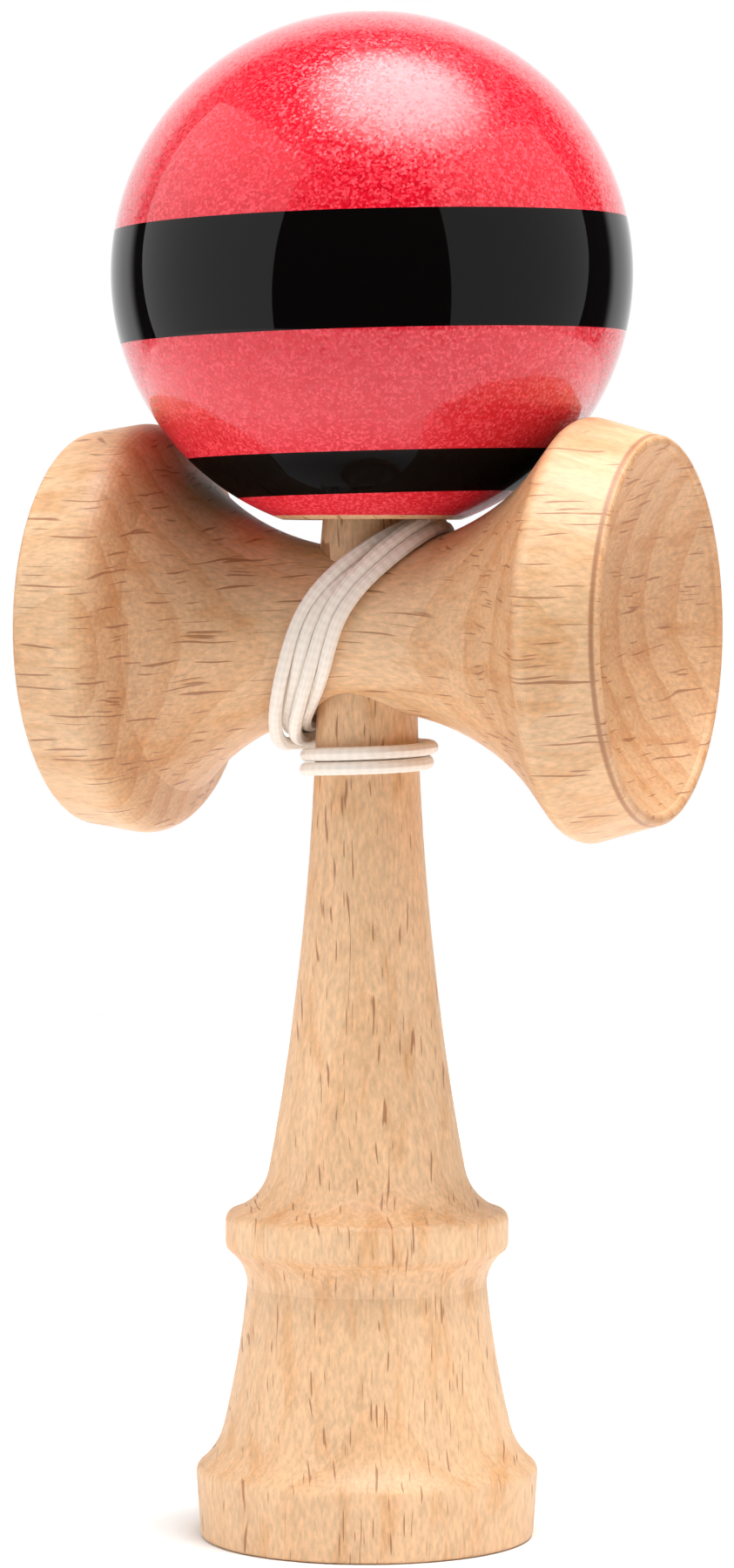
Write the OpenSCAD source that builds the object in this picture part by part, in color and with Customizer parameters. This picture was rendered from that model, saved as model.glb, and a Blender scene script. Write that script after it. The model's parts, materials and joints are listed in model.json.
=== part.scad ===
// Kendama: a turned handle with a spike and a cupped foot, a crosspiece with two cups, a drilled ball
// that stands on the crosspiece over the spike, and the string that joins them, wound up and put away.
// Millimetres, +Z up, origin on the floor at the middle of the foot, crosspiece along X, big cup on -X.

/* [Ball] */
// Diameter of the ball
ball_d = 60; // [58:0.5:63]
// Diameter of the hole that takes the spike
ball_hole_d = 20; // [19.4:0.1:21]
// Depth of that hole on the axis, from its mouth to the drill point
ball_hole_depth = 47.2; // [46.8:0.1:48.5]
// Angle of the drill point at the end of the hole
drill_angle = 118; // [110:1:130]
// Bevel at the mouth of the hole
hole_bevel = 0.4; // [0.2:0.1:0.8]
// Diameter of the string hole opposite
string_hole_d = 2.8; // [2.4:0.1:3.4]
// Diameter of the countersink of the string hole
countersink_d = 10.7; // [9:0.1:12]
// Depth of that countersink below the top of the ball
countersink_depth = 3; // [2.6:0.1:3.6]
// Air between the ball and the two cup edges under it, as the string on the neck holds the ball up
seat_gap = 1; // [0.3:0.05:1.2]

/* [Handle] */
// Height of the handle, from the floor to the tip of the spike
ken_h = 150; // [146:0.5:151]
// Diameter near the tip of the spike
spike_tip_d = 5; // [4:0.1:6]
// Diameter of the spike just over the crosspiece
spike_d = 10.74; // [10.2:0.02:11]
// Diameter just under the crosspiece
collar_d = 11.72; // [11.2:0.02:12]
// Diameter at the foot of the long taper
taper_foot_d = 22.8; // [21:0.1:25]
// Height of the foot of the long taper
taper_foot_z = 42.4; // [41.5:0.1:44]
// Radius of the hollow over the flange
flange_cove_r = 6.2; // [5.5:0.1:9]
// Diameter of the flange
flange_d = 32.8; // [31.5:0.1:35]
// Height of the lower side of the flange
flange_z = 34.1; // [33.5:0.1:34.6]
// Width of the flange's edge
flange_h = 2.6; // [2:0.1:3.2]
// Radius of the flange's corners
flange_corner_r = 1.2; // [1:0.1:1.6]
// Diameter of the waist under the flange
waist_d = 27.8; // [26:0.1:29]
// Height of the waist
waist_z = 29.2; // [28:0.1:30]
// Radius of the hollow under the flange
waist_cove_r = 5; // [4:0.1:7]
// Radius of the long hollow from the waist to the foot
lower_taper_r = 120; // [60:5:300]
// Diameter at the foot of that hollow
cone_foot_d = 33.4; // [32:0.1:35]
// Height of the foot of that hollow
cone_foot_z = 12.6; // [11.5:0.1:13.5]
// Radius of the hollow over the foot
foot_cove_r = 8; // [5:0.1:12]
// Largest diameter of the foot
foot_d = 39.6; // [38.8:0.1:42]
// Height of the foot's edge
foot_h = 7.5; // [6.5:0.1:8]
// Radius of the foot's upper corner
foot_corner_r = 1.3; // [1.1:0.1:1.8]
// Diameter of the foot at the floor
foot_base_d = 38.6; // [37.5:0.1:39.4]
// Radius of the foot's lower edge
foot_edge_r = 0.5; // [0.3:0.05:1]
// Diameter of the mouth of the foot's cup
foot_cup_d = 31; // [28:0.1:34]
// Depth of the foot's cup
foot_cup_depth = 6.5; // [5:0.1:8]

/* [Crosspiece] */
// Height of the crosspiece's axis
sarado_z = 104.9; // [103.5:0.1:106]
// Diameter of the neck
neck_d = 18.6; // [18.2:0.1:19]
// Radius of the hollow flare between the cups
flare_r = 31; // [30.6:0.1:32]
// Air between the handle and the crosspiece's bore
bore_gap = 0.06; // [0.03:0.01:0.1]
// Distance from the handle's axis to the face of the big cup
big_reach = 34.4; // [33:0.1:36]
// Distance from the handle's axis to the edge behind the big cup
big_edge_x = 25.2; // [24.6:0.1:26]
// Diameter of the edge behind the big cup
big_edge_d = 48.6; // [47.6:0.1:49.6]
// Radius that rounds that edge
big_edge_r = 4; // [1:0.1:5]
// Outer diameter of the big cup's rim
big_rim_d = 46.1; // [45:0.1:47]
// Diameter of the big cup's mouth
big_mouth_d = 43; // [41.5:0.1:43.5]
// Depth of the big cup
big_depth = 10.5; // [9:0.1:12]
// Distance from the handle's axis to the end of the flare behind the big cup
big_flare_x = 22.5; // [21:0.1:24]
// Distance from the handle's axis to the face of the small cup
small_reach = 36; // [35:0.1:37]
// Distance from the handle's axis to the edge behind the small cup
small_edge_x = 27.1; // [26.4:0.1:27.6]
// Diameter of the edge behind the small cup
small_edge_d = 48.8; // [48:0.1:49.6]
// Radius that rounds that edge
small_edge_r = 2; // [1:0.1:3]
// Outer diameter of the small cup's rim
small_rim_d = 44.2; // [42.5:0.1:45]
// Diameter of the small cup's mouth
small_mouth_d = 41.2; // [39:0.1:42]
// Depth of the small cup
small_depth = 9.5; // [8:0.1:11]
// Distance from the handle's axis to the end of the flare behind the small cup
small_flare_x = 23.4; // [22:0.1:25]
// Diameter of the hole that the string comes out of
anchor_hole_d = 2.6; // [2.2:0.1:3]
// Width of the countersink round that hole
anchor_bevel = 1.2; // [0.8:0.1:1.5]
// Distance of that hole below the crosspiece's axis
anchor_drop = 2.5; // [2.2:0.1:2.8]

/* [String] */
// Diameter of the string
string_d = 1.4; // [1.1:0.05:1.4]
// Air between the string and the wood under it
string_gap = 0.25; // [0.2:0.05:0.35]
// Number of turns round the crosspiece's neck
neck_turns = 4; // [3:1:4]
// Number of turns round the handle under it
handle_turns = 2; // [1:1:2]
// Diameter of the bead on the end of the string
bead_d = 8; // [7:0.1:8.6]
// Diameter of the bead's hole
bead_hole_d = 2.2; // [2:0.1:2.6]
// Diameter of the knot under the bead
bead_knot_d = 4.4; // [3.8:0.1:5]
// Diameter of the knot inside the handle
anchor_knot_d = 3.8; // [3.6:0.1:4]

/* [Hidden] */
$fn = 96;

// One overrun for all cuts, and the steps of an arc in an outline
over = 1;
arc_steps = 8;
long_arc_steps = 20;

// The crosspiece's neck and the rounded edges behind the cups: each edge's radius and its middle in the XZ plane
neck_r = neck_d / 2;
big_round = edge_round(big_reach, big_edge_x, big_edge_d, big_edge_r, big_rim_d, big_mouth_d, big_flare_x);
small_round =
    edge_round(small_reach, small_edge_x, small_edge_d, small_edge_r, small_rim_d, small_mouth_d, small_flare_x);
big_mid = [-big_round[1].y, sarado_z + big_round[1].x];
small_mid = [small_round[1].y, sarado_z + small_round[1].x];

// The ball stands a little over the two edges, or over the neck with the mouth of its hole if it is too small
// to reach them
ball_r = ball_d / 2;
ball_hole_r = ball_hole_d / 2;
mouth_drop = sqrt(pow(ball_r, 2) - pow(ball_hole_r, 2));
edge_span = norm(small_mid - big_mid);
edge_way = (small_mid - big_mid) / edge_span;
big_arm = ball_r + big_round[0] + seat_gap;
small_arm = ball_r + small_round[0] + seat_gap;
seat_run = (pow(big_arm, 2) - pow(small_arm, 2) + pow(edge_span, 2)) / (2 * edge_span);
seat_rise = sqrt(max(0, pow(big_arm, 2) - pow(seat_run, 2)));
edge_seat = big_mid + seat_run * edge_way + seat_rise * [-edge_way.y, edge_way.x];
neck_seat_z = sarado_z + flare_at(ball_hole_r) + seat_gap + mouth_drop;
ball_x = edge_seat.x;
ball_z = max(edge_seat.y, neck_seat_z);
ball_mouth_z = ball_z - mouth_drop;
drill_apex_z = ball_mouth_z + ball_hole_depth;
drill_slope = 1 / tan(drill_angle / 2);

// The bead lies in the drill point, with the knot under it
bead_r = bead_d / 2;
bead_gap = 0.3;
bead_z = drill_apex_z - (bead_r + bead_gap) / sin(drill_angle / 2);
bead_flat_share = 0.9;
bead_half_h = bead_r * bead_flat_share;
knot_gap = 0.2;
knot_h_share = 0.85;
knot_end_share = 0.75;
knot_round_share = 0.25;
bead_knot_top = bead_z - bead_half_h - knot_gap;
bead_knot_h = bead_knot_d * knot_h_share;

// Places on the handle's outline from the crosspiece down
collar_drop = 0.5;
collar = [collar_d / 2, sarado_z - neck_r - collar_drop];
spike_foot = [spike_d / 2, sarado_z + neck_r + collar_drop];
taper_foot = [taper_foot_d / 2, taper_foot_z];
spike_tip_r = spike_tip_d / 2;
corner_w_share = 0.46;
corner_h_share = 0.84;

// The long taper is an arc that runs on from the bore's own taper
bore_slope = (collar.x - spike_foot.x) / (spike_foot.y - collar.y);
taper_out = [1, bore_slope] / norm([1, bore_slope]);
taper_r = pow(norm(taper_foot - collar), 2) / (2 * (taper_foot - collar) * taper_out);
taper_mid = collar + taper_r * taper_out;

// Pocket in the handle for the string's knot, behind the crosspiece's string hole
anchor_z = sarado_z - anchor_drop;
anchor_knot_h = anchor_knot_d * knot_h_share;
anchor_knot_face = 3.2;
pocket_gap = 0.4;
pocket_r = anchor_knot_d / 2 + pocket_gap;
pocket_floor = anchor_knot_face - anchor_knot_h - pocket_gap;

// The turns round the neck slant from the upper right to the lower left across the front
string_r = string_d / 2;
wind_first = -0.17;
wind_last = neck_turns - 0.5;
wind_middle = wind_last / 2;
wind_shift = -0.235;
wind_reach = 7.985;
wind_swing_share = 0.13;
front_lean = 1.96;
back_lean = 4.5;
end_step = 1;
side_step = 2.6;
strand_lift = 1.8;

// The turns round the handle under the neck
turn_top_z = 90.4;
turn_step = 2;
turn_tail_share = 0.05;
turn_settle_share = 0.6;
turn_drop_share = 0.36;

// Rings and sides of the string's tubes
rings_per_turn = 24;
wind_sides = 6;
lead_sides = 8;
route_steps = 2;
hole_steps = 5;
chord_steps = 4;
same_strand = 5;
split_gap = 0.1;

// The string from its knot out to the first turn on the neck
anchor_route = [
    [0, 3.2, 102.4], [0, 4.6, 102.4], [0, 6.6, 102.4], [0, 8.8, 102.4], [0.1, 10.8, 103.2], [0.6, 11.4, 105.2],
    [1.5, 10.8, 107.5]
];

// The string from the last turn on the handle up behind the neck
tail_route = [
    [-6.4, 5, 86.2], [-6.6, 8.2, 86.4], [-6.4, 11, 88.4], [-6, 12.4, 92], [-5.4, 12.8, 96], [-5, 13, 99.6],
    [-4.8, 13.5, 102.7], [-5, 14, 104]
];

// The string from there over the back of the ball and into its string hole
lead_route = [
    [-5, 14, 104], [-5.2, 14.5, 105.3], [-5.8, 15.9, 108.6], [-6.7, 18.4, 114.2], [-7.7, 20.8, 120],
    [-8.8, 23.4, 126.3], [-9.9, 26.1, 132.5], [-10.6, 28.1, 138.7], [-10.9, 28.9, 145.1], [-10.8, 28.4, 151.5],
    [-10.1, 26.7, 157.6], [-9, 23.9, 163.2], [-7.4, 20, 168.1], [-5.5, 15.3, 172], [-3.7, 10.8, 174.6],
    [-2.3, 7.4, 175.7], [-1.5, 5.3, 176.2], [-0.8, 3.5, 176.2], [-0.1, 1.8, 175.4]
];

// Points of the shorter arc from a to b, a left out, turning left where the radius is positive
function arc_to(a, b, radius, steps = arc_steps) =
    let (
        span = norm(b - a),
        way = (b - a) / span,
        left = [-way.y, way.x],
        rise = sqrt(max(0, pow(radius, 2) - pow(span / 2, 2))),
        mid = (a + b) / 2 + sign(radius) * rise * left,
        from = atan2(a.y - mid.y, a.x - mid.x),
        sweep = sign(radius) * 2 * asin(min(1, span / 2 / abs(radius)))
    )
    [for (i = [1:steps]) mid + abs(radius) * [cos(from + sweep * i / steps), sin(from + sweep * i / steps)]];

// Radius of a round dish from its mouth and its depth
function dish_r(mouth_r, depth) = (pow(mouth_r, 2) + pow(depth, 2)) / (2 * depth);

// Radius of the handle on its long taper
function taper_at(z) = taper_mid.x - sqrt(pow(taper_r, 2) - pow(z - taper_mid.y, 2));

// Radius of the handle inside the crosspiece
function bore_at(z) = collar.x - bore_slope * (z - collar.y);

// Radius of the crosspiece on its hollow flare
function flare_at(x) = neck_r + flare_r - sqrt(pow(flare_r, 2) - pow(x, 2));

// The handle's outline from the middle of the foot's cup to the tip of the spike, as [radius, height]
function ken_outline() =
    let (
        cup_top = [0, foot_cup_depth],
        cup_mouth = [foot_cup_d / 2, 0],
        base_in = [foot_base_d / 2 - foot_edge_r, 0],
        base_out = [foot_base_d / 2, foot_edge_r],
        foot_corner = foot_corner_r * [corner_w_share, corner_h_share],
        foot_under = [foot_d / 2, foot_h],
        foot_top = [foot_d / 2 - foot_corner.x, foot_h + foot_corner.y],
        cone_foot = [cone_foot_d / 2, cone_foot_z],
        waist = [waist_d / 2, waist_z],
        flange_corner = flange_corner_r * [corner_w_share, corner_h_share],
        flange_in = [flange_d / 2 - flange_corner.x, flange_z - flange_corner.y],
        flange_low = [flange_d / 2, flange_z],
        flange_high = [flange_d / 2, flange_z + flange_h],
        flange_top = [flange_d / 2 - flange_corner.x, flange_z + flange_h + flange_corner.y],
        tip_foot = [spike_tip_r, ken_h - spike_tip_r],
        tip = [0, ken_h]
    )
    concat(
        [cup_top],
        arc_to(cup_top, cup_mouth, -dish_r(cup_mouth.x, foot_cup_depth)),
        [base_in],
        arc_to(base_in, base_out, foot_edge_r),
        [foot_under],
        arc_to(foot_under, foot_top, foot_corner_r),
        arc_to(foot_top, cone_foot, -foot_cove_r),
        arc_to(cone_foot, waist, -lower_taper_r),
        arc_to(waist, flange_in, -waist_cove_r),
        arc_to(flange_in, flange_low, flange_corner_r),
        [flange_high],
        arc_to(flange_high, flange_top, flange_corner_r),
        arc_to(flange_top, taper_foot, -flange_cove_r),
        arc_to(taper_foot, collar, -taper_r, long_arc_steps),
        [spike_foot, tip_foot],
        arc_to(tip_foot, tip, spike_tip_r)
    );

// The rounding of the edge behind a cup, between the flare and the rim: its radius, no larger than the slope to
// the edge can take, its middle and its two ends, as [radius, distance]
function edge_round(reach, edge_x, edge_d, edge_r, rim_d, mouth_d, flare_x) =
    let (
        edge = [edge_d / 2, edge_x],
        slope = [flare_at(flare_x), flare_x] - edge,
        cone = [rim_d / 2, reach - (rim_d - mouth_d) / 4] - edge,
        in_way = slope / norm(slope),
        out_way = cone / norm(cone),
        half = acos(in_way * out_way) / 2,
        radius = min(edge_r, norm(slope) * tan(half)),
        run = radius / tan(half)
    )
    [
        radius,
        edge + radius / sin(half) * (in_way + out_way) / norm(in_way + out_way),
        edge + run * in_way,
        edge + run * out_way
    ];

// Half of the crosspiece's outline, from the neck to the middle of a dish, as [radius, distance]
function cup_outline(reach, round, rim_d, mouth_d, depth, flare_x) =
    let (
        lip_r = (rim_d - mouth_d) / 4,
        rim = [rim_d / 2, reach - lip_r],
        mouth = [mouth_d / 2, reach - lip_r],
        dish_floor = [0, reach - lip_r - depth]
    )
    concat(
        arc_to([neck_r, 0], [flare_at(flare_x), flare_x], -flare_r, long_arc_steps),
        [round[2]],
        arc_to(round[2], round[3], round[0]),
        [rim],
        arc_to(rim, mouth, lip_r),
        arc_to(mouth, dish_floor, -dish_r(mouth.x, depth), long_arc_steps)
    );

// Both halves as one outline, with the big cup on the minus side
function sarado_outline() =
    let (
        big = cup_outline(big_reach, big_round, big_rim_d, big_mouth_d, big_depth, big_flare_x),
        small = cup_outline(small_reach, small_round, small_rim_d, small_mouth_d, small_depth, small_flare_x)
    )
    concat(
        [for (i = [len(big) - 1:-1:0]) [big[i].x, -big[i].y]],
        [[neck_r, 0]],
        small
    );

// A unit vector along v, a step that eases from 0 to 1, and the direction of v square to w
function unit(v) = v / norm(v);
function ease(t) = let (c = min(1, max(0, t))) c * c * (3 - 2 * c);
function square_to(v, w) = unit(v - (v * w) * w);

// A point of the string on the neck, t turns from the top of the neck, going down across the front
function neck_turn(t) =
    let (
        a = 360 * t,
        strand = floor(t + 0.25),
        lean = sin(a) < 0 ? back_lean : front_lean,
        spread = end_step + (side_step - end_step) * (1 - pow(cos(a), 4)),
        swing = (1 - wind_swing_share) * cos(a) + wind_swing_share * cos(3 * a),
        x = wind_shift + wind_reach * swing - lean * pow(sin(a), 2) + spread * (wind_middle - t),
        lift = (strand % 2 == 0 ? 0 : 1) * strand_lift * (1 - pow(sin(a), 4)),
        out = flare_at(x) + (string_r + string_gap + lift) / cos(asin(x / flare_r))
    )
    [x, -out * sin(a), sarado_z + out * cos(a)];

// A point of the string on the handle, t turns from the left, going by the back
function handle_turn(t) =
    let (
        from = neck_turn(wind_last),
        z = from.z + (turn_top_z - from.z) * ease(t / turn_drop_share) - turn_step * max(0, t - turn_drop_share),
        close = taper_at(z) + string_gap + string_r,
        out = -from.x + (close + from.x) * ease(t / turn_settle_share)
    )
    [-out * cos(360 * t), out * sin(360 * t), z];

// A smooth curve through points b and c of four, at share t of the way
function through(a, b, c, d, t) =
    (2 * b + (c - a) * t + (2 * a - 5 * b + 4 * c - d) * t * t + (3 * b - a - 3 * c + d) * t * t * t) / 2;

// A smooth curve along a route, from point number first up to but without point number last
function smooth_route(route, first, last) = [
    for (i = [first:last - 1], j = [0:route_steps - 1])
        through(route[max(i - 1, 0)], route[i], route[i + 1], route[min(i + 2, len(route) - 1)], j / route_steps)
];

// Middle line of the wound string, from the knot to the split behind the neck
function winding_path() =
    let (
        neck_steps = round((wind_last - wind_first) * rings_per_turn),
        hand_end = handle_turns + turn_tail_share,
        hand_steps = round(hand_end * rings_per_turn),
        neck = [for (i = [0:neck_steps]) neck_turn(wind_first + (wind_last - wind_first) * i / neck_steps)],
        hand = [for (i = [1:hand_steps]) handle_turn(hand_end * i / hand_steps)],
        lead_in = concat(anchor_route, [neck[0], neck[1]]),
        lead_out = concat([hand[hand_steps - 2], hand[hand_steps - 1]], tail_route)
    )
    concat(
        [anchor_route[0]],
        smooth_route(lead_in, 1, len(anchor_route)),
        neck,
        [for (i = [0:hand_steps - 2]) hand[i]],
        smooth_route(lead_out, 1, len(lead_out) - 2),
        [lead_out[len(lead_out) - 2], lead_out[len(lead_out) - 1]]
    );

// Middle line of the string from the split to the knot under the bead
function lead_path() =
    let (
        hole_top = [ball_x, 0, ball_z + ball_r - countersink_depth],
        hole_end = [ball_x, 0, bead_knot_top],
        down = [for (i = [0:hole_steps]) hole_top + (hole_end - hole_top) * i / hole_steps],
        route = concat(lead_route, down),
        start = route[0] + split_gap * unit(route[1] - route[0])
    )
    concat([start], smooth_route(route, 1, len(route) - 1), [hole_end]);

// Direction of a path at its point number i
function path_way(path, i) = unit(path[min(i + 1, len(path) - 1)] - path[max(i - 1, 0)]);

// A vector square to the path at each point, carried along without twist
function path_sides(path) =
    let (first = square_to([1, 0, 0], path_way(path, 0)))
    [
        for (i = 0, side = first; i < len(path);
            i = i + 1, side = i < len(path) ? square_to(side, path_way(path, i)) : side)
            side
    ];

// Points along a path, close together
function dense_path(path) = [
    for (i = [0:len(path) - 2], j = [0:chord_steps - 1]) path[i] + (path[i + 1] - path[i]) * j / chord_steps
];

// Length of a path up to each of its points
function path_runs(path) = [
    for (i = 0, s = 0; i < len(path); i = i + 1, s = i < len(path) ? s + norm(path[i] - path[i - 1]) : s) s
];

// Least air between a string's strands, those of one bend left out
function own_gap(path) =
    let (points = dense_path(path), runs = path_runs(points), count = len(points))
    min([
        for (i = [0:count - 2], j = [i + 1:count - 1])
            if (runs[j] - runs[i] > same_strand) norm(points[j] - points[i])
    ]) - string_d;

// Length of a whole path
function path_length(path) = path_runs(path)[len(path) - 1];

// A closed tube of the string's diameter along a path
module tube(path, sides) {
    across = path_sides(path);
    rings = len(path);
    points = concat(
        [
            for (i = [0:rings - 1], k = [0:sides - 1])
                let (u = across[i], v = cross(path_way(path, i), u), a = 360 * k / sides)
                path[i] + string_r * (u * cos(a) + v * sin(a))
        ],
        [path[0], path[rings - 1]]
    );
    walls = [
        for (i = [0:rings - 2], k = [0:sides - 1])
            let (a = i * sides + k, b = i * sides + (k + 1) % sides, c = b + sides, d = a + sides)
            each [[a, d, b], [b, d, c]]
    ];
    caps = [
        for (k = [0:sides - 1])
            let (n = (k + 1) % sides, last = (rings - 1) * sides)
            each [[k, n, rings * sides], [last + n, last + k, rings * sides + 1]]
    ];
    polyhedron(points = points, faces = concat(walls, caps));
}

// A knot pulled tight, as a round barrel standing on the plane z = 0
module knot(d, h) {
    end_r = d * knot_end_share / 2;
    edge = h * knot_round_share;
    rotate_extrude() polygon([[0, 0], [end_r, 0], [d / 2, edge], [d / 2, h - edge], [end_r, h], [0, h]]);
}

// Handle: spike, long taper, flange, waist and cupped foot in one turning, with the pocket for the knot
module ken() {
    color("burlywood")
    difference() {
        rotate_extrude() polygon(ken_outline());
        translate([0, pocket_floor, anchor_z])
            rotate([-90, 0, 0]) cylinder(r = pocket_r, h = collar.x - pocket_floor + over);
    }
}

// Crosspiece: a cup at each end of a flared neck, bored for the handle and drilled for the string
module sarado() {
    bore_low = collar.y - over;
    bore_high = spike_foot.y + over;
    hole_r = anchor_hole_d / 2;
    hole_mouth = sqrt(pow(neck_r, 2) - pow(anchor_drop, 2));
    color("burlywood")
    difference() {
        translate([0, 0, sarado_z]) rotate([0, 90, 0]) rotate_extrude() polygon(sarado_outline());
        translate([0, 0, bore_low])
            cylinder(r1 = bore_at(bore_low) + bore_gap, r2 = bore_at(bore_high) + bore_gap, h = bore_high - bore_low);
        translate([0, 0, anchor_z]) rotate([-90, 0, 0]) rotate_extrude() polygon([
            [0, 0],
            [hole_r, 0],
            [hole_r, hole_mouth - anchor_bevel],
            [hole_r + anchor_bevel + over, hole_mouth + over],
            [0, hole_mouth + over]
        ]);
    }
}

// Ball: drilled for the spike from below and for the string from above
module tama() {
    mouth = ball_mouth_z - ball_z;
    apex = drill_apex_z - ball_z;
    string_hole_r = string_hole_d / 2;
    sink_r = countersink_d / 2;
    sink_z = ball_r - countersink_depth;
    sink_slope = (sink_r - string_hole_r) / (sqrt(pow(ball_r, 2) - pow(sink_r, 2)) - sink_z);
    drill_foot = apex - ball_hole_r * drill_slope;
    color("crimson")
    translate([ball_x, 0, ball_z])
    difference() {
        sphere(r = ball_r);
        rotate_extrude() polygon([
            [0, -ball_r - over],
            [ball_hole_r + hole_bevel + mouth + ball_r + over, -ball_r - over],
            [ball_hole_r, mouth + hole_bevel],
            [ball_hole_r, drill_foot],
            [0, apex]
        ]);
        rotate_extrude() polygon([
            [0, drill_foot],
            [string_hole_r, drill_foot],
            [string_hole_r, sink_z],
            [string_hole_r + sink_slope * (countersink_depth + over), ball_r + over],
            [0, ball_r + over]
        ]);
    }
}

// Bead on the end of the string, a small ball with flat ends and a hole
module bead() {
    color("peru")
    translate([ball_x, 0, bead_z])
    difference() {
        intersection() {
            sphere(r = bead_r);
            cube([bead_d + over, bead_d + over, 2 * bead_half_h], center = true);
        }
        cylinder(d = bead_hole_d, h = bead_d + over, center = true);
    }
}

// Knot that holds the bead on the string
module bead_knot() {
    color("linen") translate([ball_x, 0, bead_knot_top - bead_knot_h]) knot(bead_knot_d, bead_knot_h);
}

// Knot that holds the string in the handle
module anchor_knot() {
    color("linen")
    translate([0, anchor_knot_face - anchor_knot_h, anchor_z]) rotate([-90, 0, 0]) knot(anchor_knot_d, anchor_knot_h);
}

// String wound round the neck and the handle, from the knot in the handle up to the split
module string_winding() {
    color("linen") tube(winding_path(), wind_sides);
}

// String from the split over the back of the ball, down through the bead to its knot
module string_lead() {
    color("linen") tube(lead_path(), lead_sides);
}

ken();
sarado();
tama();
bead();
bead_knot();
anchor_knot();
string_winding();
string_lead();

echo(string_length = path_length(winding_path()) + path_length(lead_path()));
echo(least_gap_of_the_winding = own_gap(winding_path()));
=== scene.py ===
import json
import math

import bpy
import numpy as np
from bpy.props import FloatProperty, FloatVectorProperty, IntProperty, PointerProperty
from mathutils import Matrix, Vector

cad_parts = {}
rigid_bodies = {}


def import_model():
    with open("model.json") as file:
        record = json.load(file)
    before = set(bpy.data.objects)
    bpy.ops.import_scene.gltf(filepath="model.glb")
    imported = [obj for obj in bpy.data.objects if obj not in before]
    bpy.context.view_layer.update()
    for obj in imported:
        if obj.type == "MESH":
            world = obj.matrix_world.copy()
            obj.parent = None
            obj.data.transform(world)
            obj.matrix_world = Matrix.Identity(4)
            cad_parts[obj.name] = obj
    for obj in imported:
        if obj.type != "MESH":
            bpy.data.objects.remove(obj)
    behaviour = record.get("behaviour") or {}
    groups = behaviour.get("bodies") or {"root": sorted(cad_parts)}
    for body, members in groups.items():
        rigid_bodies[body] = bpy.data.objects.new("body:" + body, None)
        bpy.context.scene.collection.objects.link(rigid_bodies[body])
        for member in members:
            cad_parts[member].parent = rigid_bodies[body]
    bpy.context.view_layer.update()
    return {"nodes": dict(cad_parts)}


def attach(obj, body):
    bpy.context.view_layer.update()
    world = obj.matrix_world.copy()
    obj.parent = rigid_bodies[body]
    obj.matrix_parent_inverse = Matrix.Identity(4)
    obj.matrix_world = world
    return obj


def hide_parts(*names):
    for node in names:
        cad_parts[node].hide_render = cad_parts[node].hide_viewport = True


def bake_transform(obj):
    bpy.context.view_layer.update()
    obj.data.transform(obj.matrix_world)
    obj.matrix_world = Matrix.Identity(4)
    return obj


for leftover in list(bpy.data.objects):
    bpy.data.objects.remove(leftover)
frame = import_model()

bl_info = {
    "name": "Kendama",
    "version": (1, 0, 0),
    "blender": (4, 5, 0),
    "location": "View3D > Sidebar > Kendama",
    "description": "Dresses a wooden kendama: beech, lacquered ball, braided string and a plain studio",
    "category": "Object",
}

MM = 0.001


def linear(hex_colour):
    """An sRGB hex colour such as "#e8be93" as linear red, green and blue."""
    s = np.array([int(hex_colour[i:i + 2], 16) for i in (1, 3, 5)]) / 255
    return tuple(np.where(s <= 0.04045, s / 12.92, ((s + 0.055) / 1.055) ** 2.4))


def height_property(name, description, default, **limits):
    """A length in metres that the sidebar shows with its unit."""
    return FloatProperty(name=name, description=description, default=default, unit="LENGTH", precision=5,
                         **limits)


def size_property(name, description, default):
    """A length that is never below zero."""
    return height_property(name, description, default, min=0)


def angle_property(name, description, degrees):
    """An angle that the sidebar shows in degrees."""
    return FloatProperty(name=name, description=description, default=math.radians(degrees), subtype="ANGLE")


def share_property(name, description, default):
    """A share from 0 to 1."""
    return FloatProperty(name=name, description=description, default=default, min=0, max=1, subtype="FACTOR")


def brightness_property(name, description, default):
    """A brightness of which 1 is white."""
    return FloatProperty(name=name, description=f"{description}, 1 is white", default=default, min=0)


def colour_property(name, description, hex_colour):
    """A colour that the sidebar shows as a swatch."""
    return FloatVectorProperty(name=name, description=description, default=linear(hex_colour), size=3,
                               min=0, max=1, subtype="COLOR")


# Settings that a user would change

class KendamaWoodSettings(bpy.types.PropertyGroup):
    """Colours and grain of the beech."""
    pale: colour_property("Pale wood", "Colour of the early wood", "#e8be93")
    tan: colour_property("Tan wood", "Colour of the late wood of a growth ring", "#d5985d")
    fleck: colour_property("Fleck", "Colour of the short dark rays in the grain", "#95592f")
    end: colour_property("End grain", "Tint of the wood where its surface cuts across the grain", "#e4d3c2")
    ring: size_property("Growth ring", "Width of one growth ring", 4 * MM)
    cross_rings: share_property("Crosspiece rings", "Share of the late wood's colour at a ring's end", 0.55)
    handle_rings: share_property("Handle rings", "Share of the late wood's colour at a ring's end", 0.4)
    fleck_width: size_property("Fleck width", "Width of the noise that a fleck is the peak of", 0.3 * MM)
    cross_fleck: size_property("Crosspiece fleck", "Length of a fleck on the crosspiece", 9 * MM)
    handle_fleck: size_property("Handle fleck", "Length of a fleck on the handle", 4 * MM)


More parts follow.
